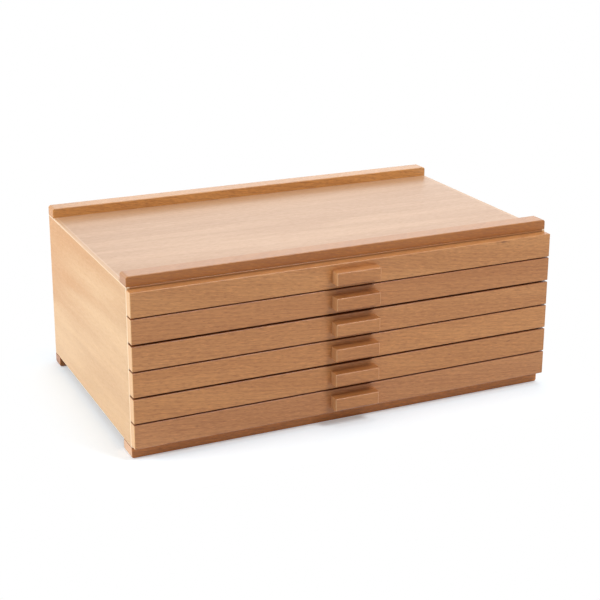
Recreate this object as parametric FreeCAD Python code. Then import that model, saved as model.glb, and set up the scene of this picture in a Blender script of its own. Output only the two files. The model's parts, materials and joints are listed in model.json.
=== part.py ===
import FreeCAD, Part
import os

# Pencil drawer box in beech, in millimetres, with +Z up and +X to the right of someone facing it.
# The drawers open towards -Y. The origin is on the floor, under the middle of the whole box.
#
# The case is two grooved side panels, a top and a base sheet set into rabbets in them, and a back.
# Two rails lie along the top, two foot strips lie under the base. Each drawer has a front that
# covers the case's edges, and its plywood bottom runs past its walls into the milled grooves.

# ---- Case ---------------------------------------------------------------------------------------
case_width = 400.0  # across the outer faces of the side panels
case_depth = 235.0  # front edges to back face, without the drawer fronts
side_thickness = 10.0
sheet_thickness = 3.2  # the top and the base
back_thickness = 4.0
rabbet_ledge = 7.0  # width of the ledge that carries a sheet or the back
case_arris = 1.2  # rounding of the case's outer edges
front_edge_arris = 0.4  # rounding of a side panel's front edge

# ---- Rails and foot strips ----------------------------------------------------------------------
rail_height = 8.75
rail_depth = 16.0
rail_corner = 2.5  # rounding of the top corners at a rail's ends
foot_height = 9.5
front_foot_depth = 21.0
rear_foot_depth = 15.0
foot_corner = 2.0  # rounding of the lower corners at a foot's ends
strip_arris = 0.8  # rounding along the rails and feet

# ---- Drawers ------------------------------------------------------------------------------------
front_height = 21.7
front_thickness = 9.0
front_arris = 0.8
front_gaps = (0.9, 1.6, 1.0, 1.4, 1.0)  # between one front and the next, from the top down
reveal = 2.2  # case that shows above the highest front and below the lowest
wall_thickness = 6.0
wall_arris = 0.8  # rounding along the top of a drawer's walls
wall_rabbet = 3.0  # how far a drawer's back is let into each wall
housing_depth = 3.0  # how far the walls and the bottom are let into the front
bottom_thickness = 3.0
bottom_lift = 3.5  # underside of the bottom above the lower edge of the front
tray_drop = 2.0  # top of the walls below the upper edge of the front
tongue = 4.0  # how far the bottom reaches into each groove
tongue_lead_in = 3.0  # chamfer at the bottom's rear corners

# ---- Running clearances -------------------------------------------------------------------------
closing_clearance = 0.3  # behind a closed front
groove_clearance = 0.3  # above, below and beside a tongue
wall_clearance = 0.8  # between a drawer's wall and the side panel
back_clearance = 5.0  # behind a closed drawer

# ---- Pulls --------------------------------------------------------------------------------------
pull_length = 42.0
pull_height = 11.5
pull_projection = 9.7
pull_arris = 1.2

# ---- Places worked out from the sizes above -----------------------------------------------------
drawer_count = len(front_gaps) + 1
case_height = 2 * reveal + drawer_count * front_height + sum(front_gaps)
overall_depth = case_depth + closing_clearance + front_thickness + pull_projection

case_half = case_width / 2
case_back = overall_depth / 2
case_front = case_back - case_depth
case_bottom = foot_height
case_top = foot_height + case_height
sheet_half = case_half - side_thickness + rabbet_ledge

inner_half = case_half - side_thickness
wall_half = inner_half - wall_clearance
tongue_half = inner_half + tongue
groove_half = tongue_half + groove_clearance

front_back = case_front - closing_clearance
front_face = front_back - front_thickness
pull_face = front_face - pull_projection
housing_floor = front_back - housing_depth
tray_back = case_back - back_thickness - back_clearance

walls_base = bottom_lift + bottom_thickness  # above the lower edge of the front
walls_top = front_height - tray_drop


def block(x, y, z):
    """A box between the two limits that each of x, y and z gives."""
    size = [limits[1] - limits[0] for limits in (x, y, z)]
    return Part.makeBox(*size, FreeCAD.Vector(x[0], y[0], z[0]))


def on_planes(edge, planes):
    """True if the edge lies in every plane: each is an axis letter and the place on that axis."""
    box = edge.BoundBox
    ends = {"x": (box.XMin, box.XMax), "y": (box.YMin, box.YMax), "z": (box.ZMin, box.ZMax)}
    return all(abs(end - place) < 1e-6 for axis, place in planes for end in ends[axis])


def rounded(shape, radius, *lines):
    """The shape with the edges on the given lines rounded. A line is two planes that meet in it."""
    edges = [e for e in shape.Edges if any(on_planes(e, line) for line in lines)]
    return shape.makeFillet(radius, edges)


def rounded_off(shape, radius, seat):
    """The shape with every edge rounded but those in the plane of its seat, which stay square."""
    edges = [e for e in shape.Edges if not on_planes(e, (seat,))]
    return shape.makeFillet(radius, edges)


def save(name, shape):
    shape.exportStep("parts/" + name + ".step")


def front_bottoms():
    """The height of each front's lower edge, from the top drawer down."""
    top = case_top - reveal
    places = []
    for gap in front_gaps + (0.0,):
        places.append(top - front_height)
        top -= front_height + gap
    return places


# ---- Case ---------------------------------------------------------------------------------------
def side_panel(side):
    """A side panel. side is -1 for the left one and 1 for the right one."""
    outer = side * case_half
    inner = side * inner_half
    ledge = side * sheet_half
    across = sorted((outer, inner))
    over_ledge = sorted((ledge, inner))
    along = (case_front, case_back)
    panel = block(across, along, (case_bottom, case_top))

    top_edge = (("x", outer), ("z", case_top))
    bottom_edge = (("x", outer), ("z", case_bottom))
    rear_edge = (("x", outer), ("y", case_back))
    front_edge = (("x", outer), ("y", case_front))
    panel = rounded(panel, case_arris, top_edge, bottom_edge, rear_edge)
    panel = rounded(panel, front_edge_arris, front_edge)

    cuts = [
        block(over_ledge, along, (case_top - sheet_thickness, case_top)),
        block(over_ledge, along, (case_bottom, case_bottom + sheet_thickness)),
        block(over_ledge, (case_back - back_thickness, case_back), (case_bottom, case_top)),
    ]
    groove_across = sorted((side * groove_half, inner))
    for bottom in front_bottoms():
        low = bottom + bottom_lift - groove_clearance
        high = bottom + bottom_lift + bottom_thickness + groove_clearance
        cuts.append(block(groove_across, along, (low, high)))
    return panel.cut(cuts).removeSplitter()


def sheet(outside, inside):
    """The top or base sheet, from its face outside the case to the one inside."""
    panel = block((-sheet_half, sheet_half), (case_front, case_back), sorted((outside, inside)))
    front_edge = (("y", case_front), ("z", outside))
    rear_edge = (("y", case_back), ("z", outside))
    return rounded(panel, case_arris, front_edge, rear_edge)


def back_panel():
    across = (-sheet_half, sheet_half)
    up = (case_bottom + sheet_thickness, case_top - sheet_thickness)
    return block(across, (case_back - back_thickness, case_back), up)


def strip(y, seat, free, corner):
    """A rail or foot across the case between the limits y, from its seat to its free face."""
    bar = block((-case_half, case_half), y, sorted((seat, free)))
    ends = [(("x", x), ("z", free)) for x in (-case_half, case_half)]
    sides = [(("y", place), ("z", free)) for place in y]
    uprights = [(("x", x), ("y", place)) for x in (-case_half, case_half) for place in y]
    bar = rounded(bar, corner, *ends)
    return rounded(bar, strip_arris, *sides, *uprights)


# ---- Drawers ------------------------------------------------------------------------------------
def drawer_front(bottom):
    panel = block(
        (-case_half, case_half), (front_face, front_back), (bottom, bottom + front_height)
    )
    panel = rounded_off(panel, front_arris, ("y", front_back))
    housing = (housing_floor, front_back)
    wall_up = (bottom + walls_base, bottom + walls_top)
    cuts = [block((-tongue_half, tongue_half), housing, (bottom + bottom_lift, wall_up[0]))]
    for side in (-1, 1):
        across = sorted((side * wall_half, side * (wall_half - wall_thickness)))
        cuts.append(block(across, housing, wall_up))
    return panel.cut(cuts)


def drawer_wall(bottom, side):
    """A drawer's left (side -1) or right (side 1) wall, with the rabbet for the drawer's back."""
    outer = side * wall_half
    inner = side * (wall_half - wall_thickness)
    up = (bottom + walls_base, bottom + walls_top)
    wall = block(sorted((outer, inner)), (housing_floor, tray_back), up)
    # The top is rounded only behind the front, so that the wall fills its housing.
    behind_front = wall.cut(block(sorted((outer, inner)), (housing_floor, front_back), up))
    top_edges = [(("x", x), ("z", up[1])) for x in (outer, inner)]
    behind_front = rounded(behind_front, wall_arris, *top_edges)
    tenon = block(sorted((outer, inner)), (housing_floor, front_back), up)
    rabbet_across = sorted((inner, inner + side * wall_rabbet))
    rabbet = block(rabbet_across, (tray_back - wall_thickness, tray_back), up)
    return behind_front.fuse(tenon).cut(rabbet).removeSplitter()


def drawer_back(bottom):
    half = wall_half - wall_thickness + wall_rabbet
    up = (bottom + walls_base, bottom + walls_top)
    board = block((-half, half), (tray_back - wall_thickness, tray_back), up)
    top_edges = [(("y", y), ("z", up[1])) for y in (tray_back - wall_thickness, tray_back)]
    return rounded(board, wall_arris, *top_edges)


def drawer_bottom(bottom):
    up = (bottom + bottom_lift, bottom + walls_base)
    board = block((-tongue_half, tongue_half), (housing_floor, tray_back), up)
    corners = [(("x", x), ("y", tray_back)) for x in (-tongue_half, tongue_half)]
    edges = [e for e in board.Edges if any(on_planes(e, line) for line in corners)]
    return board.makeChamfer(tongue_lead_in, edges)


def drawer_pull(bottom):
    half = pull_length / 2
    low = bottom + (front_height - pull_height) / 2
    bar = block((-half, half), (pull_face, front_face), (low, low + pull_height))
    ends = [(("x", x), ("y", pull_face)) for x in (-half, half)]
    sides = [(("y", pull_face), ("z", z)) for z in (low, low + pull_height)]
    return rounded(bar, pull_arris, *ends, *sides)


# ---- The whole box ------------------------------------------------------------------------------
def main():
    os.makedirs("parts", exist_ok=True)

    save("left_side_panel", side_panel(-1))
    save("right_side_panel", side_panel(1))
    save("top_sheet", sheet(case_top, case_top - sheet_thickness))
    save("base_sheet", sheet(case_bottom, case_bottom + sheet_thickness))
    save("back_panel", back_panel())

    rail_top = case_top + rail_height
    at_front = (case_front, case_front + rail_depth)
    at_back = (case_back - rail_depth, case_back)
    save("front_top_rail", strip(at_front, case_top, rail_top, rail_corner))
    save("rear_top_rail", strip(at_back, case_top, rail_top, rail_corner))
    under_front = (case_front, case_front + front_foot_depth)
    under_back = (case_back - rear_foot_depth, case_back)
    save("front_foot", strip(under_front, case_bottom, 0.0, foot_corner))
    save("rear_foot", strip(under_back, case_bottom, 0.0, foot_corner))

    for number, bottom in enumerate(front_bottoms(), 1):
        drawer = "drawer_{}_".format(number)
        save(drawer + "front", drawer_front(bottom))
        save(drawer + "left_wall", drawer_wall(bottom, -1))
        save(drawer + "right_wall", drawer_wall(bottom, 1))
        save(drawer + "back", drawer_back(bottom))
        save(drawer + "bottom", drawer_bottom(bottom))
        save(drawer + "pull", drawer_pull(bottom))


main()
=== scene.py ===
"""Finishes, fastenings and studio for a beech box of six pencil drawers."""
import json
import math
import random

import bmesh
import bpy
from bpy.props import FloatProperty, FloatVectorProperty, IntProperty, PointerProperty
from mathutils import Matrix, Vector

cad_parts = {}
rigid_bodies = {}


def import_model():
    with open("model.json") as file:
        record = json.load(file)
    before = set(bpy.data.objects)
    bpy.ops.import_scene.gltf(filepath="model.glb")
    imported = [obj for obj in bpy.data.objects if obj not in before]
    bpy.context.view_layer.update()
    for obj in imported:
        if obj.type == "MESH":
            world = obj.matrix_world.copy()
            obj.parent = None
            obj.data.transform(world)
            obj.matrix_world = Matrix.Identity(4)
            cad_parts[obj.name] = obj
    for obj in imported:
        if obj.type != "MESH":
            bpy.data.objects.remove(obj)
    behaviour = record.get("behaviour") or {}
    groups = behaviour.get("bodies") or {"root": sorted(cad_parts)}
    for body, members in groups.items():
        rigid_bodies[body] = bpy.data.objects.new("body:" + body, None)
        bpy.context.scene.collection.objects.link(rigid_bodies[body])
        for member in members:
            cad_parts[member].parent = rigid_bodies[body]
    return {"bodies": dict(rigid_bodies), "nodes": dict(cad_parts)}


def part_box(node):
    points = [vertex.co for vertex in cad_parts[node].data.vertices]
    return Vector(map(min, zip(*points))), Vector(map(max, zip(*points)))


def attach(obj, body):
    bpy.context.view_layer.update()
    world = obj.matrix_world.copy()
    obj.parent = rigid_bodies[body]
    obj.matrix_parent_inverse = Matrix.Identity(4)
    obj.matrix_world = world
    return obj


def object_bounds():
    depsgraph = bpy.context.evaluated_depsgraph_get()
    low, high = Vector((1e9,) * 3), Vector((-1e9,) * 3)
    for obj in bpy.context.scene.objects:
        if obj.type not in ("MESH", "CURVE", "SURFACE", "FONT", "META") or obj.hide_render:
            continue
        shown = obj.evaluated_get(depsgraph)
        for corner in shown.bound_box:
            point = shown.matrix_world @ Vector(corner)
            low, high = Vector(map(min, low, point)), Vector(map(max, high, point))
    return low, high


bl_info = {
    "name": "Pencil drawer box",
    "version": (1, 0, 0),
    "blender": (4, 5, 0),
    "location": "3D View > Sidebar > Pencil box",
    "description": "Finishes the boards of a beech drawer box, adds its fastenings and lights it",
    "category": "Object",
}

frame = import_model()
cad_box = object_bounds()
nodes = frame["nodes"]
drawers = sorted(body for body in frame["bodies"] if body.startswith("drawer_"))

MM = 0.001


def linear(code):
    """The linear colour of an sRGB hex code."""
    parts = [int(code[i : i + 2], 16) / 255 for i in (1, 3, 5)]
    return tuple(c / 12.92 if c <= 0.04045 else ((c + 0.055) / 1.055) ** 2.4 for c in parts)


def shade(colour, *factors):
    """A colour with each of its three parts made stronger or weaker."""
    factors = factors if len(factors) == 3 else factors * 3
    return tuple(min(1.0, part * factor) for part, factor in zip(colour, factors))


# ---- Settings -----------------------------------------------------------------------------------
def colour(name, description, code):
    """A colour that a user can change, with its default as an sRGB hex code."""
    return FloatVectorProperty(
        name=name, description=description, default=linear(code), subtype="COLOR", min=0, max=1
    )


def millimetres(name, description, size):
    """A size in millimetres that a user can change."""
    return FloatProperty(name=name, description=description, default=size, min=0.01)


def strength(name, description, default):
    """The strength of a light that a user can change."""
    return FloatProperty(name=name, description=description, default=default, min=0)


class BeechColours(bpy.types.PropertyGroup):
    """Colours of the boards as they look when finished, and of the steel."""

    # It also tints the painted highlight on the ends of the fronts and the pulls.
    side: colour("Side panels", "Light beech of the case's sides", "#D0A877")
    # It also tints the painted sheen on the rails' tops and the side panels' upper and lower edges.
    sheet: colour("Top and base", "Pale beech veneer of the top and base", "#BC9572")
    rail: colour("Rails and feet", "Steamed beech of the rails and feet", "#A96927")
    front: colour("Drawer fronts", "Steamed beech of the drawer fronts", "#BC814B")
    pull: colour("Pulls", "Steamed beech of the pulls", "#B57943")
    tray: colour("Drawer walls", "Sanded beech inside the drawers", "#D3AC80")
    ply: colour("Plywood", "Face veneer of the drawer bottoms and the back", "#D2B088")
    core: colour("Plywood core", "Cross veneer inside the plywood", "#98683F")
    # It also tints the painted shade in the gaps between the fronts and on the pulls' tops and
    # undersides.
    ring: colour("Late wood", "Darker line of each year's ring", "#8A4F2A")
    pore: colour("Pores", "Dark pores and knots", "#6B3B1E")
    # Worn varnish on edges and ends, and also the colour of painted highlights on them.
    worn: colour("Worn edges", "Edges and ends where the varnish has paled", "#F4DDBD")
    steel: colour("Steel", "Zinc-plated steel of the screws and pins", "#B9B6AC")


class GrainSizes(bpy.types.PropertyGroup):
    """Sizes of the figure in the wood."""

    ring_width: millimetres("Ring width", "Growth in one year", 3.4)
    fibre_length: millimetres("Fibre length", "Length of a fine streak along the grain", 14.0)
    fibre_width: millimetres("Fibre width", "Width of a fine streak across the grain", 0.8)
    fleck_length: millimetres("Fleck length", "Length of a ray fleck along the grain", 5.5)
    fleck_width: millimetres("Fleck width", "Width of a ray fleck across the grain", 1.0)
    pore_length: millimetres("Pore spacing", "Spacing of the dark pores along the grain", 6.0)
    pore_width: millimetres("Pore pitch", "Spacing of the dark pores across the grain", 1.8)
    waver: millimetres("Waver", "How far the grain wanders from side to side", 6.0)


class StudioSettings(bpy.types.PropertyGroup):
    """Power of each softbox in watts, and the light from all round."""

    key: strength("Key", "Softbox high in front, to the right", 15.9)
    overhead: strength("Overhead", "Softbox above", 9.5)
    left: strength("Left", "Softbox on the left", 40.0)
    back: strength("Back", "Softbox low behind, which gives the top its sheen", 3.4)
    ambient: strength("Ambient", "Light from all round, where 1 is white", 0.25)


class FastenerSizes(bpy.types.PropertyGroup):
    """Sizes of the screws behind the pulls and of the pins in the back."""

    screw_radius: millimetres("Screw head", "Radius of a screw's head", 3.2)
    screw_spacing: millimetres("Screw spacing", "Distance between a pull's two screws", 24.0)
    pin_radius: millimetres("Pin head", "Radius of a panel pin's head", 1.1)
    pin_spacing: millimetres("Pin spacing", "Greatest distance between pins in the back", 64.0)
    pin_inset: millimetres("Pin inset", "Distance of the pins from the back's upright edges", 3.5)
    pin_end: millimetres("Pin end distance", "Distance of the end pins from the corners", 12.0)


class PencilBoxSettings(bpy.types.PropertyGroup):
    """Everything about the box that a user can change."""

    colours: PointerProperty(type=BeechColours)
    grain: PointerProperty(type=GrainSizes)
    studio: PointerProperty(type=StudioSettings)
    fasteners: PointerProperty(type=FastenerSizes)
    seed: IntProperty(name="Seed", description="Chooses where each board is cut", default=7)


# ---- Wood ---------------------------------------------------------------------------------------
def add_node(tree, kind, inputs=None, **settings):
    """Adds a node with its settings and its inputs.

    An input is a value, or the node or the output that it follows. It is named by its socket's
    name, or by its number where sockets share a name: a mix's colours are 6 and 7.
    """
    node = tree.nodes.new(kind)
    for name, value in settings.items():
        setattr(node, name, value)
    for socket, value in (inputs or {}).items():
        if isinstance(value, bpy.types.Node):
            value = value.outputs[0]
        if isinstance(value, bpy.types.NodeSocket):
            tree.links.new(value, node.inputs[socket])
        else:
            node.inputs[socket].default_value = value
    return node


def emptied_tree(owner):
    """The node tree of a new material or world, with nothing in it."""
    owner.use_nodes = True
    owner.node_tree.nodes.clear()
    return owner.node_tree


def log_turn(grain, lean):
    """The turn that lays a board along the log's X axis, with its grain leaning in its face.

    grain says how the board stands: "across" is upright and runs from side to side, "back" is
    upright and runs front to back, and "flat" lies down and runs from side to side.
    """
    return {
        "across": (0.0, lean, 0.0),
        "back": (lean, 0.0, math.radians(-90)),
        "flat": (0.0, 0.0, lean),
    }[grain]


def edge_nearness(tree, place, board):
    """How near a point of the surface is to the board's edges: 1 on them, 0 from 1.5 mm away."""
    low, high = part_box(board)
    middle, half = (low + high) / 2, (high - low) / 2
    offset = add_node(tree, "ShaderNodeVectorMath", {0: place, 1: middle}, operation="SUBTRACT")
    folded = add_node(tree, "ShaderNodeVectorMath", {0: offset}, operation="ABSOLUTE")
    depth = add_node(tree, "ShaderNodeVectorMath", {0: half, 1: folded}, operation="SUBTRACT")
    x, y, z = add_node(tree, "ShaderNodeSeparateXYZ", {0: depth}).outputs
    # On a face one depth is zero, so the middle one of the three is the way to the nearest edge.
    lesser = add_node(tree, "ShaderNodeMath", {0: x, 1: y}, operation="MINIMUM")
    greater = add_node(tree, "ShaderNodeMath", {0: x, 1: y}, operation="MAXIMUM")
    capped = add_node(tree, "ShaderNodeMath", {0: greater, 1: z}, operation="MINIMUM")
    nearest = add_node(tree, "ShaderNodeMath", {0: lesser, 1: capped}, operation="MAXIMUM")
    return add_node(
        tree,
        "ShaderNodeMapRange",
        {"Value": nearest, "From Max": 1.5 * MM, "To Min": 1.0, "To Max": 0.0},
    )


def beech(
    finish, board, base, grain, figure=1.0, roughness=0.42, coat=0.35, wear_and_highlight=0.1,
    lean=None, core=None, tone_gradient=None, faces=(), marks=()
):
    """Beech, planed and sanded, cut from its own place in the log.

    The eye gets a warm even tone, faint rings, fine streaks and many short flecks that run along
    the grain. The pattern is solid, so a board's ends show the same rings and flecks end on.
    figure is how strong the rings, streaks, flecks and pores are.
    coat is the film of clear satin varnish, which whitens the wood at a low angle.
    wear_and_highlight is how much the board's edges are painted paler: a little worn varnish, and
    where it is strong, a painted highlight.
    lean is how far the grain leans in the board's face, in degrees. Without it, chance decides.
    core is a plywood's middle veneer: its axis and its two faces, in metres.
    tone_gradient is where the board turns darker along a direction: the direction, the two
    distances along it in metres, and the colour.
    faces are faces of another tone, picked by the way they face, so mostly painted light or shade:
    the axis that they look along, how much, and the colour.
    marks are small dark marks in the grain: x, z and length in millimetres.
    """
    settings = bpy.context.scene.pencil_box
    colours, sizes = settings.colours, settings.grain
    draw = random.Random("{} {}".format(board, settings.seed))
    pith_distance, pith_angle = draw.uniform(60, 120), math.radians(draw.uniform(20, 70))
    slant = math.radians(draw.uniform(-9, -4) if lean is None else lean)

    material = bpy.data.materials.new("{}_{}".format(finish, board))
    tree = emptied_tree(material)
    coordinates = add_node(tree, "ShaderNodeTexCoord").outputs
    place = coordinates["Object"]
    log = add_node(
        tree,
        "ShaderNodeMapping",
        {
            "Vector": place,
            "Location": (
                draw.uniform(0, 900),
                pith_distance * math.cos(pith_angle),
                pith_distance * math.sin(pith_angle),
            ),
            "Rotation": log_turn(grain, slant),
            "Scale": (1 / MM, 1 / MM, 1 / MM),
        },
    )

    # The grain wanders slowly, over some 150 mm along the board and 40 mm across it, and ripples
    # a little on the way.
    reach = add_node(
        tree, "ShaderNodeMapping", {"Vector": log, "Scale": (1 / 150, 1 / 40, 1 / 40)}
    )
    drift = add_node(
        tree,
        "ShaderNodeTexNoise",
        {"Vector": reach, "Scale": 1.0, "Detail": 3.0, "Roughness": 0.55},
    )
    centred = add_node(
        tree,
        "ShaderNodeVectorMath",
        {0: drift.outputs["Color"], 1: (0.5, 0.5, 0.5)},
        operation="SUBTRACT",
    )
    waver = add_node(
        tree,
        "ShaderNodeVectorMath",
        {0: centred, 1: (0.0, sizes.waver, sizes.waver)},
        operation="MULTIPLY",
    )
    wood = add_node(tree, "ShaderNodeVectorMath", {0: log, 1: waver}, operation="ADD")

    # Rings round the pith: each gets slowly darker towards its late wood, then starts again. At
    # a scale of 1, the texture has a ring every tau / 20.
    rings = add_node(
        tree,
        "ShaderNodeTexWave",
        {
            "Vector": wood,
            "Scale": math.tau / 20 / sizes.ring_width,
            "Distortion": 1.5,
            "Detail": 2.0,
            "Detail Scale": 0.3,
        },
        wave_type="RINGS",
        rings_direction="X",
        wave_profile="SAW",
    ).outputs["Fac"]

    # These run along the grain: each one's length and width in millimetres, and its detail.
    # Real flecks are about 3 mm by 0.4 mm. They are drawn larger, or a picture would lose them.
    tone, fibres, flecks = (
        add_node(
            tree,
            "ShaderNodeTexNoise",
            {
                "Vector": add_node(
                    tree,
                    "ShaderNodeMapping",
                    {"Vector": wood, "Scale": (1 / length, 1 / width, 1 / width)},
                ),
                "Scale": 1.0,
                "Detail": detail,
                "Roughness": 0.55,
            },
        )
        for length, width, detail in (
            (230, 24, 3.0),
            (sizes.fibre_length, sizes.fibre_width, 3.0),
            (sizes.fleck_length, sizes.fleck_width, 1.5),
        )
    )

    # The wood is cut into long cells. Chance gives each a pore round its middle, which is the
    # wider and darker the higher the chance, and reaches a third of a cell at most.
    cell_scale = (1 / sizes.pore_length, 1 / sizes.pore_width, 1 / sizes.pore_width)
    cell_place = add_node(tree, "ShaderNodeMapping", {"Vector": wood, "Scale": cell_scale})
    cells = add_node(tree, "ShaderNodeTexVoronoi", {"Vector": cell_place, "Scale": 1.0})
    chance = add_node(tree, "ShaderNodeSeparateColor", {0: cells.outputs["Color"]})
    distance = add_node(tree, "ShaderNodeMath", {0: cells, 1: -1.0}, operation="MULTIPLY")
    pores = add_node(
        tree, "ShaderNodeMath", {0: chance, 1: 0.33, 2: distance}, operation="MULTIPLY_ADD"
    )

    edges = edge_nearness(tree, place, board)
    folded = add_node(
        tree, "ShaderNodeVectorMath", {0: coordinates["Normal"]}, operation="ABSOLUTE"
    )
    facing = add_node(tree, "ShaderNodeSeparateXYZ", {0: folded}).outputs

    # Each layer lies over those before it: what drives it, from and to, its strength and colour.
    late, pore, worn = (tuple(tint) for tint in (colours.ring, colours.pore, colours.worn))
    layers = [(tone, 0.35, 0.65, 1.0, shade(base, 0.95, 0.91, 0.86))]
    if tone_gradient:
        direction, low, high, tint = tone_gradient
        # Its border wanders with the board's tone, mostly by less than 20 mm to either side.
        wander = add_node(
            tree, "ShaderNodeMapRange", {"Value": tone, "To Min": -75 * MM, "To Max": 75 * MM}
        )
        along = add_node(
            tree, "ShaderNodeVectorMath", {0: place, 1: direction}, operation="DOT_PRODUCT"
        ).outputs["Value"]
        depth = add_node(tree, "ShaderNodeMath", {0: along, 1: wander}, operation="ADD")
        layers.append((depth, low, high, 1.0, tint))
    layers += [
        (rings, 0.35, 1.0, 0.13 * figure, late),
        (fibres, 0.42, 0.72, 0.16 * figure, late),
        (flecks, 0.53, 0.68, 0.20 * figure, late),
        (flecks, 0.45, 0.30, 0.22 * figure, shade(base, 1.45, 1.42, 1.40)),
        (pores, 0.0, 0.20, 0.18 * figure, pore),
        # The edges are painted paler: a little worn varnish, and where the amount is high, a
        # painted highlight on the arrises.
        (edges, 0.0, 0.5, wear_and_highlight, worn),
    ]
    # A face's tone, mostly painted light or shade, covers the broken edges round it too.
    for axis, most, tint in faces:
        layers.append((facing[axis], 0.35, 0.65, most, tuple(tint)))
    if core:
        layers.append((core_veneer(tree, place, *core), 0.0, 1.0, 1.0, tuple(colours.core)))
    for mark in marks:
        layers.append((grain_mark(tree, place, *mark), 0.6, 0.1, 0.8, pore))
    # Below them all lies the paler of the board's two tones.
    body = (*shade(base, 1.08, 1.10, 1.12), 1.0)
    for source, low, high, most, tint in layers:
        factor = add_node(
            tree,
            "ShaderNodeMapRange",
            {"Value": source, "From Min": low, "From Max": high, "To Max": most},
            interpolation_type="SMOOTHSTEP",
        )
        body = add_node(
            tree, "ShaderNodeMix", {0: factor, 6: body, 7: (*tint, 1.0)}, data_type="RGBA"
        ).outputs[2]

    bump = add_node(
        tree, "ShaderNodeBump", {"Strength": 0.2, "Distance": 0.06 * MM, "Height": fibres}
    )
    rough = add_node(
        tree,
        "ShaderNodeMapRange",
        {
            "Value": flecks,
            "From Min": 0.3,
            "From Max": 0.7,
            "To Min": roughness - 0.05,
            "To Max": roughness + 0.06,
        },
    )
    shader = add_node(
        tree,
        "ShaderNodeBsdfPrincipled",
        {
            "Base Color": body,
            "Roughness": rough,
            "IOR": 1.45,
            "Coat Weight": coat,
            "Coat Roughness": 0.3,
            "Normal": bump,
        },
    )
    add_node(tree, "ShaderNodeOutputMaterial", {"Surface": shader})
    return material


def core_veneer(tree, place, axis, low, high):
    """1 between two planes across an axis, where a plywood's edge shows its cross veneer."""
    along = add_node(tree, "ShaderNodeSeparateXYZ", {0: place}).outputs[axis]
    middle, half = (low + high) / 2, (high - low) / 2
    return add_node(
        tree, "ShaderNodeMath", {0: along, 1: middle, 2: half}, operation="COMPARE"
    )


def grain_mark(tree, place, x, z, span):
    """How far a point of a front is from a mark in its grain: 0 at its middle, 0.5 at its ends."""
    slimness = 5  # its length over its height
    around = add_node(
        tree,
        "ShaderNodeMapping",
        {
            "Vector": place,
            "Location": (-x / span, 0.0, -z / span * slimness),
            "Scale": (1 / span / MM, 0.0, slimness / span / MM),
        },
    )
    return add_node(tree, "ShaderNodeVectorMath", {0: around}, operation="LENGTH").outputs["Value"]


def dress(board, material):
    """Gives a board of the frame its finish, through its material slots."""
    for slot in nodes[board].material_slots:
        slot.material = material


def core_between_veneers(board, axis):
    """A plywood board's core, as beech takes it: the axis across it and the core's two faces."""
    low, high = (corner[axis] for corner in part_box(board))
    return axis, low + (high - low) / 3, high - (high - low) / 3


# ---- Pieces -------------------------------------------------------------------------------------
class FinishCase(bpy.types.Operator):
    """Finishes the side panels, the top and base sheets and the back"""

    bl_idname = "pencil_box.finish_case"
    bl_label = "Finish the case"

    def execute(self, context):
        colours = context.scene.pencil_box.colours
        side, sheet, ply = tuple(colours.side), tuple(colours.sheet), tuple(colours.ply)
        # Both sides turn darker and more orange towards their upper rear corner. Their upper and
        # lower edges are painted as pale as the sheets, and all their arrises paler still: a
        # painted highlight.
        tone_gradient = (0.0, 0.4, 0.9), 60 * MM, 170 * MM, shade(side, 0.90, 0.70, 0.44)
        for board in ("left_side_panel", "right_side_panel"):
            dress(board, beech(
                "satin_varnished_beech", board, side, "back", figure=0.3, wear_and_highlight=1.0, lean=1.5,
                tone_gradient=tone_gradient, faces=((2, 0.8, shade(sheet, 1.1)),),
            ))
        # The sheets' long edges are stained to match the rails and feet. Their arrises are painted
        # a little paler, as a painted highlight.
        for board in ("top_sheet", "base_sheet"):
            dress(board, beech(
                "satin_beech_veneer", board, sheet, "flat", figure=0.7, wear_and_highlight=0.2, lean=0.5,
                core=core_between_veneers(board, 2), faces=((1, 1.0, colours.rail),),
            ))
        board = "back_panel"
        dress(board, beech(
            "beech_plywood", board, ply, "across", roughness=0.55, coat=0.0, lean=0.5,
            core=core_between_veneers(board, 1),
        ))
        return {"FINISHED"}


class FinishRails(bpy.types.Operator):
    """Finishes the two rails on the top and the two foot strips"""

    bl_idname = "pencil_box.finish_rails"
    bl_label = "Finish the rails and feet"

    # Each strip's tone, as its strength of red, green and blue, and how much its ends are painted
    # paler, as a painted highlight.
    strips = {
        "front_top_rail": ((1.0,), 0.1),
        "rear_top_rail": ((1.46, 1.88, 3.50), 0.0),
        "front_foot": ((1.42, 1.34, 1.15), 0.4),
        "rear_foot": ((0.9,), 0.0),
    }

    def execute(self, context):
        colours = context.scene.pencil_box.colours
        # The tops are painted paler, like the top sheet: a painted sheen.
        top = (2, 0.3, colours.sheet)
        for board, (tone, painted_end_highlight) in self.strips.items():
            dress(board, beech(
                "satin_varnished_steamed_beech", board, shade(colours.rail, *tone), "across",
                figure=1.6, coat=0.4, wear_and_highlight=0.0, faces=(top, (0, painted_end_highlight, colours.worn)),
            ))
        return {"FINISHED"}


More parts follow.
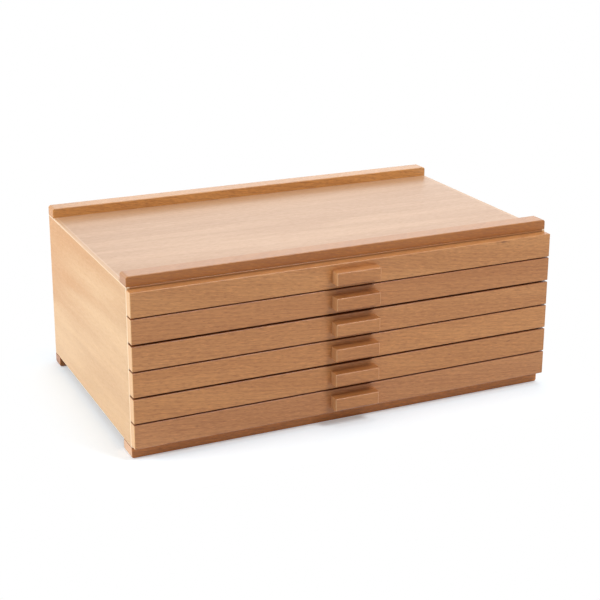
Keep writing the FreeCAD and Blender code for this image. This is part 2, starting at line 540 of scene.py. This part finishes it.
class FinishDrawerFronts(bpy.types.Operator):
    """Finishes the six drawer fronts, each cut from its own place in the log"""

    bl_idname = "pencil_box.finish_fronts"
    bl_label = "Finish the drawer fronts"

    # Boards of one tree still differ a little: each front's strength of red, green and blue.
    tones = {
        "drawer_1": (1.03, 1.05, 1.05),
        "drawer_2": (0.92, 0.88, 0.85),
        "drawer_3": (1.03, 1.04, 1.05),
        "drawer_4": (1.04, 1.04, 1.01),
        "drawer_5": (1.00, 0.99, 0.95),
        "drawer_6": (0.97, 0.96, 1.02),
    }
    # Small dark marks in the grain: x, z and length in millimetres.
    marks = {"drawer_1": ((150.0, 146.4, 9.0),), "drawer_5": ((160.0, 50.0, 6.0),)}

    def execute(self, context):
        colours = context.scene.pencil_box.colours
        front = tuple(colours.front)
        # The ends are painted paler, like the side panels: a painted highlight. The long edges are
        # painted darker, as painted shade in the gaps, and least on the uppermost front.
        ends = (0, 0.7, shade(colours.side, 1.25))
        painted_gap_shade = shade(colours.ring, 0.6, 0.3, 0.15)
        for drawer in drawers:
            board = drawer + "_front"
            faces = ends, (2, 0.1 if drawer == drawers[0] else 0.6, painted_gap_shade)
            base = shade(front, *self.tones.get(drawer, (1.0,)))
            dress(board, beech(
                "satin_varnished_steamed_beech", board, base, "across", figure=1.5,
                wear_and_highlight=0.0, faces=faces, marks=self.marks.get(drawer, ()),
            ))
        return {"FINISHED"}


class FinishPulls(bpy.types.Operator):
    """Finishes the six bar pulls"""

    bl_idname = "pencil_box.finish_pulls"
    bl_label = "Finish the pulls"

    def execute(self, context):
        colours = context.scene.pencil_box.colours
        pull = tuple(colours.pull)
        # The ends are painted paler, like those of the fronts: a painted highlight. The tops and
        # undersides are painted a little darker, as painted shade.
        faces = (0, 0.9, shade(colours.side, 1.1, 0.95, 0.9)), (2, 0.15, colours.ring)
        for drawer in drawers:
            board = drawer + "_pull"
            dress(board, beech(
                "satin_varnished_steamed_beech", board, pull, "across", figure=1.4, wear_and_highlight=0.0,
                faces=faces,
            ))
        return {"FINISHED"}


class FinishTrays(bpy.types.Operator):
    """Finishes the walls, backs and bottoms of the six drawers"""

    bl_idname = "pencil_box.finish_trays"
    bl_label = "Finish the trays"

    def execute(self, context):
        colours = context.scene.pencil_box.colours
        tray, ply = tuple(colours.tray), tuple(colours.ply)
        parts = (("_left_wall", "back"), ("_right_wall", "back"), ("_back", "across"))
        for drawer in drawers:
            for part, grain in parts:
                board = drawer + part
                dress(board, beech("sanded_beech", board, tray, grain, roughness=0.55, coat=0.0))
            board = drawer + "_bottom"
            dress(board, beech(
                "beech_plywood", board, ply, "flat", roughness=0.55, coat=0.0, lean=0.5,
                core=core_between_veneers(board, 2),
            ))
        return {"FINISHED"}


# ---- Fastenings ---------------------------------------------------------------------------------
def zinc_plated_steel():
    """Steel, zinc plated in a barrel and passivated: a dull grey gleam with faint clouds."""
    steel = tuple(bpy.context.scene.pencil_box.colours.steel)
    material = bpy.data.materials.new("zinc_plated_steel")
    tree = emptied_tree(material)
    place = add_node(tree, "ShaderNodeTexCoord").outputs["Object"]
    # The clouds are about 1.5 mm across.
    clouds = add_node(
        tree, "ShaderNodeTexNoise", {"Vector": place, "Scale": 1 / (1.5 * MM), "Detail": 2.0}
    )
    dull, bright = (*shade(steel, 0.75), 1.0), (*shade(steel, 1.1), 1.0)
    plating = add_node(
        tree, "ShaderNodeMix", {0: clouds, 6: dull, 7: bright}, data_type="RGBA"
    ).outputs[2]
    rough = add_node(tree, "ShaderNodeMapRange", {"Value": clouds, "To Min": 0.28, "To Max": 0.45})
    shader = add_node(
        tree,
        "ShaderNodeBsdfPrincipled",
        {"Base Color": plating, "Metallic": 1.0, "Roughness": rough},
    )
    add_node(tree, "ShaderNodeOutputMaterial", {"Surface": shader})
    return material


def moved_vertices(made):
    """The new vertices in what an extrusion gives back."""
    return [part for part in made["geom"] if isinstance(part, bmesh.types.BMVert)]


def screw_head(radius):
    """A raised head with a cross recess. It stands on the XY plane and faces up Z."""
    # The head is shaped with a radius of 1 and gets its size at the end.
    rim_height, dome_height, recess_depth, sunk = 0.12, 0.25, 0.28, 0.03
    form = bmesh.new()
    bmesh.ops.create_grid(form, x_segments=12, y_segments=12, size=1.0)
    middles = {face: face.calc_center_median() for face in form.faces}
    # The recess is a cross of two bars, each a sixth of the head wide and two thirds of it long.
    recess = [
        face
        for face, at in middles.items()
        if min(abs(at.x), abs(at.y)) < 1 / 6 and max(abs(at.x), abs(at.y)) < 2 / 3
    ]
    # The square grid becomes a round dome.
    for vertex in form.verts:
        x, y = vertex.co.x, vertex.co.y
        vertex.co.x = x * math.sqrt(1 - y * y / 2)
        vertex.co.y = y * math.sqrt(1 - x * x / 2)
        vertex.co.z = rim_height + dome_height * (1 - vertex.co.x**2 - vertex.co.y**2)
    # The recess narrows by about a quarter on its way down.
    floor = moved_vertices(bmesh.ops.extrude_face_region(form, geom=recess))
    bmesh.ops.scale(form, vec=(0.72, 0.72, 1.0), verts=floor)
    bmesh.ops.translate(form, vec=(0.0, 0.0, -recess_depth), verts=floor)
    # A skirt closes the side and sinks a little into the board.
    rim = [edge for edge in form.edges if edge.is_boundary]
    skirt = moved_vertices(bmesh.ops.extrude_edge_only(form, edges=rim))
    bmesh.ops.translate(form, vec=(0.0, 0.0, -rim_height - sunk), verts=skirt)
    bmesh.ops.edgeloop_fill(form, edges=[edge for edge in form.edges if edge.is_boundary])
    bmesh.ops.scale(form, vec=(radius, radius, radius), verts=form.verts)
    return form


def pin_head(radius):
    """A flat pin head with a rounded rim. It stands on the XY plane and faces up Z."""
    height, rounding = 0.3 * radius, 0.15 * radius
    form = bmesh.new()
    bmesh.ops.create_circle(form, cap_ends=True, segments=16, radius=radius)
    top = moved_vertices(bmesh.ops.extrude_face_region(form, geom=form.faces[:]))
    bmesh.ops.translate(form, vec=(0.0, 0.0, height), verts=top)
    rim = [edge for edge in form.edges if all(vertex in top for vertex in edge.verts)]
    bmesh.ops.bevel(
        form,
        geom=rim,
        offset=rounding,
        segments=2,
        profile=0.5,
        affect="EDGES",
        material=-1,
    )
    return form


def add_piece(name, form, material):
    """Makes a piece of a form and a material, and frees the form."""
    mesh = bpy.data.meshes.new(name)
    form.to_mesh(mesh)
    form.free()
    mesh.materials.append(material)
    piece = bpy.data.objects.new(name, mesh)
    bpy.context.scene.collection.objects.link(piece)
    return piece


def fasten(name, form, place, turn, steel, body):
    """Makes a fastening of a form, facing backwards at its place, and lets it ride on a body."""
    stand = (
        Matrix.Translation(place)
        @ Matrix.Rotation(math.radians(-90), 4, "X")
        @ Matrix.Rotation(turn, 4, "Z")
    )
    bmesh.ops.transform(form, matrix=stand, verts=form.verts)
    bmesh.ops.recalc_face_normals(form, faces=form.faces)
    piece = add_piece(name, form, steel)
    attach(piece, body)


class AddScrews(bpy.types.Operator):
    """Adds the two screws that hold each pull, on the inside of its drawer front"""

    bl_idname = "pencil_box.add_screws"
    bl_label = "Add the screws"

    def execute(self, context):
        settings = context.scene.pencil_box
        sizes = settings.fasteners
        steel = zinc_plated_steel()
        draw = random.Random(settings.seed)
        for drawer in drawers:
            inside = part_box(drawer + "_front")[1].y
            low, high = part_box(drawer + "_pull")
            middle = (low + high) / 2
            for side, step in (("left", -0.5), ("right", 0.5)):
                place = (middle.x + step * sizes.screw_spacing * MM, inside, middle.z)
                head = screw_head(sizes.screw_radius * MM)
                name = "{}_{}_screw".format(drawer, side)
                fasten(name, head, place, draw.uniform(0, math.tau), steel, drawer)
        return {"FINISHED"}


class AddPins(bpy.types.Operator):
    """Adds the panel pins that hold the back in the rabbets of the side panels"""

    bl_idname = "pencil_box.add_pins"
    bl_label = "Add the pins"

    def execute(self, context):
        sizes = context.scene.pencil_box.fasteners
        steel = zinc_plated_steel()
        low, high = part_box("back_panel")
        inset, end = sizes.pin_inset * MM, sizes.pin_end * MM
        length = high.z - low.z - 2 * end
        steps = math.ceil(length / (sizes.pin_spacing * MM))
        for side, x in (("left", low.x + inset), ("right", high.x - inset)):
            for step in range(steps + 1):
                place = (x, high.y, low.z + end + length * step / steps)
                name = "{}_pin_{}".format(side, step + 1)
                fasten(name, pin_head(sizes.pin_radius * MM), place, 0.0, steel, "case")
        return {"FINISHED"}


# ---- Studio -------------------------------------------------------------------------------------
def softbox(name, place, size, power, mirrored=True):
    """A square area light that faces the middle of the box. mirrored lets the varnish show it."""
    lamp = bpy.data.lights.new(name, "AREA")
    lamp.size = size
    lamp.energy = power
    holder = bpy.data.objects.new(name, lamp)
    holder.location = place
    holder.visible_glossy = mirrored
    middle = Vector((0.0, 0.0, 0.08))
    holder.rotation_euler = (middle - Vector(place)).to_track_quat("-Z", "Y").to_euler()
    bpy.context.scene.collection.objects.link(holder)


def place_camera():
    """The camera stands in front of the box, on the left, and looks down on it."""
    camera = bpy.data.cameras.new("camera")
    camera.sensor_width = 36.0
    camera.lens = 81.36
    camera.shift_y = -0.1
    heading, pitch, roll = (math.radians(angle) for angle in (25.025, 16.923, -0.218))
    turn = (
        Matrix.Rotation(-heading, 4, "Z")
        @ Matrix.Rotation(math.radians(90) - pitch, 4, "X")
        @ Matrix.Rotation(-roll, 4, "Z")
    )
    holder = bpy.data.objects.new("camera", camera)
    holder.matrix_world = Matrix.Translation((-0.5065, -1.092, 0.5007)) @ turn
    bpy.context.scene.collection.objects.link(holder)
    bpy.context.scene.camera = holder


def seen_directly(tree):
    """1 for what the camera, a reflection or glass sees, and 0 for light that falls on things."""
    path = add_node(tree, "ShaderNodeLightPath").outputs
    seen = add_node(
        tree,
        "ShaderNodeMath",
        {0: path["Is Camera Ray"], 1: path["Is Glossy Ray"]},
        operation="MAXIMUM",
    )
    return add_node(
        tree, "ShaderNodeMath", {0: seen, 1: path["Is Transmission Ray"]}, operation="MAXIMUM"
    )


def light_world(ambient):
    """A white room: plain white to the eye, and a soft even light on the box."""
    world = bpy.data.worlds.new("white_room")
    tree = emptied_tree(world)
    around = add_node(tree, "ShaderNodeBackground", {"Color": (1, 1, 1, 1), "Strength": ambient})
    white = add_node(tree, "ShaderNodeBackground", {"Color": (1, 1, 1, 1), "Strength": 1.0})
    room = add_node(tree, "ShaderNodeMixShader", {0: seen_directly(tree), 1: around, 2: white})
    add_node(tree, "ShaderNodeOutputWorld", {"Surface": room})
    bpy.context.scene.world = world


def floor_paper():
    """Matt white paper. It keeps the box's soft shadow and runs out to plain white round it."""
    material = bpy.data.materials.new("matt_white_paper")
    tree = emptied_tree(material)
    paper = add_node(tree, "ShaderNodeBsdfDiffuse", {"Color": (0.85, 0.85, 0.85, 1)})
    # The tint takes the wood's warm light out of the shadow, and the lift keeps the shadow pale.
    shaded = add_node(tree, "ShaderNodeBsdfDiffuse", {"Color": (0.80, 0.88, 0.94, 1)})
    lift = add_node(tree, "ShaderNodeEmission", {"Color": (1, 1, 1, 1), "Strength": 0.25})
    near = add_node(tree, "ShaderNodeAddShader", {0: shaded, 1: lift})
    white = add_node(tree, "ShaderNodeEmission", {"Color": (1, 1, 1, 1), "Strength": 1.0})
    place = add_node(tree, "ShaderNodeTexCoord").outputs["Object"]
    # How far a point lies outside the box's footprint, in metres.
    half = (*cad_box[1][:2], 0.0)
    folded = add_node(tree, "ShaderNodeVectorMath", {0: place}, operation="ABSOLUTE")
    beyond = add_node(tree, "ShaderNodeVectorMath", {0: folded, 1: half}, operation="SUBTRACT")
    outside = add_node(tree, "ShaderNodeVectorMath", {0: beyond}, operation="MAXIMUM")
    away = add_node(tree, "ShaderNodeVectorMath", {0: outside}, operation="LENGTH").outputs["Value"]
    # Between 5 and 50 mm outside it, the paper turns plain white.
    far = add_node(
        tree, "ShaderNodeMapRange", {"Value": away, "From Min": 5 * MM, "From Max": 50 * MM}
    )
    visible = add_node(tree, "ShaderNodeMixShader", {0: far, 1: near, 2: white})
    both = add_node(tree, "ShaderNodeMixShader", {0: seen_directly(tree), 1: paper, 2: visible})
    add_node(tree, "ShaderNodeOutputMaterial", {"Surface": both})
    return material


def lay_floor():
    """A sheet of paper under the box, 12 m across."""
    form = bmesh.new()
    bmesh.ops.create_grid(form, x_segments=1, y_segments=1, size=6.0)
    floor = add_piece("floor", form, floor_paper())


class SetStage(bpy.types.Operator):
    """Places the camera, the floor and the lights"""

    bl_idname = "pencil_box.set_stage"
    bl_label = "Set the stage"

    def execute(self, context):
        studio = context.scene.pencil_box.studio
        context.scene.view_settings.view_transform = "Standard"
        place_camera()
        lay_floor()
        light_world(studio.ambient)
        # The varnish does not mirror the left one, which would bleach the top from the right.
        softbox("key_softbox", (0.55, -1.00, 1.42), 0.5, studio.key)
        softbox("overhead_softbox", (0.0, 0.1, 1.70), 1.3, studio.overhead)
        softbox("left_softbox", (-2.10, 0.55, 0.80), 1.3, studio.left, mirrored=False)
        softbox("back_softbox", (0.75, 1.50, 0.70), 1.2, studio.back)
        return {"FINISHED"}


# ---- The add-on ---------------------------------------------------------------------------------
class PencilBoxPanel(bpy.types.Panel):
    """Lists the steps and the settings"""

    bl_idname = "VIEW3D_PT_pencil_box"
    bl_label = "Pencil box"
    bl_space_type = "VIEW_3D"
    bl_region_type = "UI"
    bl_category = "Pencil box"

    def draw(self, context):
        for step in STEPS:
            self.layout.operator(step.bl_idname)
        settings = context.scene.pencil_box
        self.layout.prop(settings, "seed")
        for group in (settings.colours, settings.grain, settings.studio, settings.fasteners):
            section = self.layout.box()
            for name in group.__annotations__:
                section.prop(group, name)


STEPS = (
    SetStage,
    FinishCase,
    FinishRails,
    FinishDrawerFronts,
    FinishPulls,
    FinishTrays,
    AddScrews,
    AddPins,
)
GROUPS = (BeechColours, GrainSizes, StudioSettings, FastenerSizes, PencilBoxSettings)


def register():
    for kind in (*GROUPS, *STEPS, PencilBoxPanel):
        bpy.utils.register_class(kind)
    bpy.types.Scene.pencil_box = PointerProperty(type=PencilBoxSettings)


def unregister():
    del bpy.types.Scene.pencil_box
    for kind in reversed((*GROUPS, *STEPS, PencilBoxPanel)):
        bpy.utils.unregister_class(kind)


def main():
    register()
    for step in STEPS:
        area, name = step.bl_idname.split(".")
        getattr(getattr(bpy.ops, area), name)()


if __name__ == "__main__":
    main()
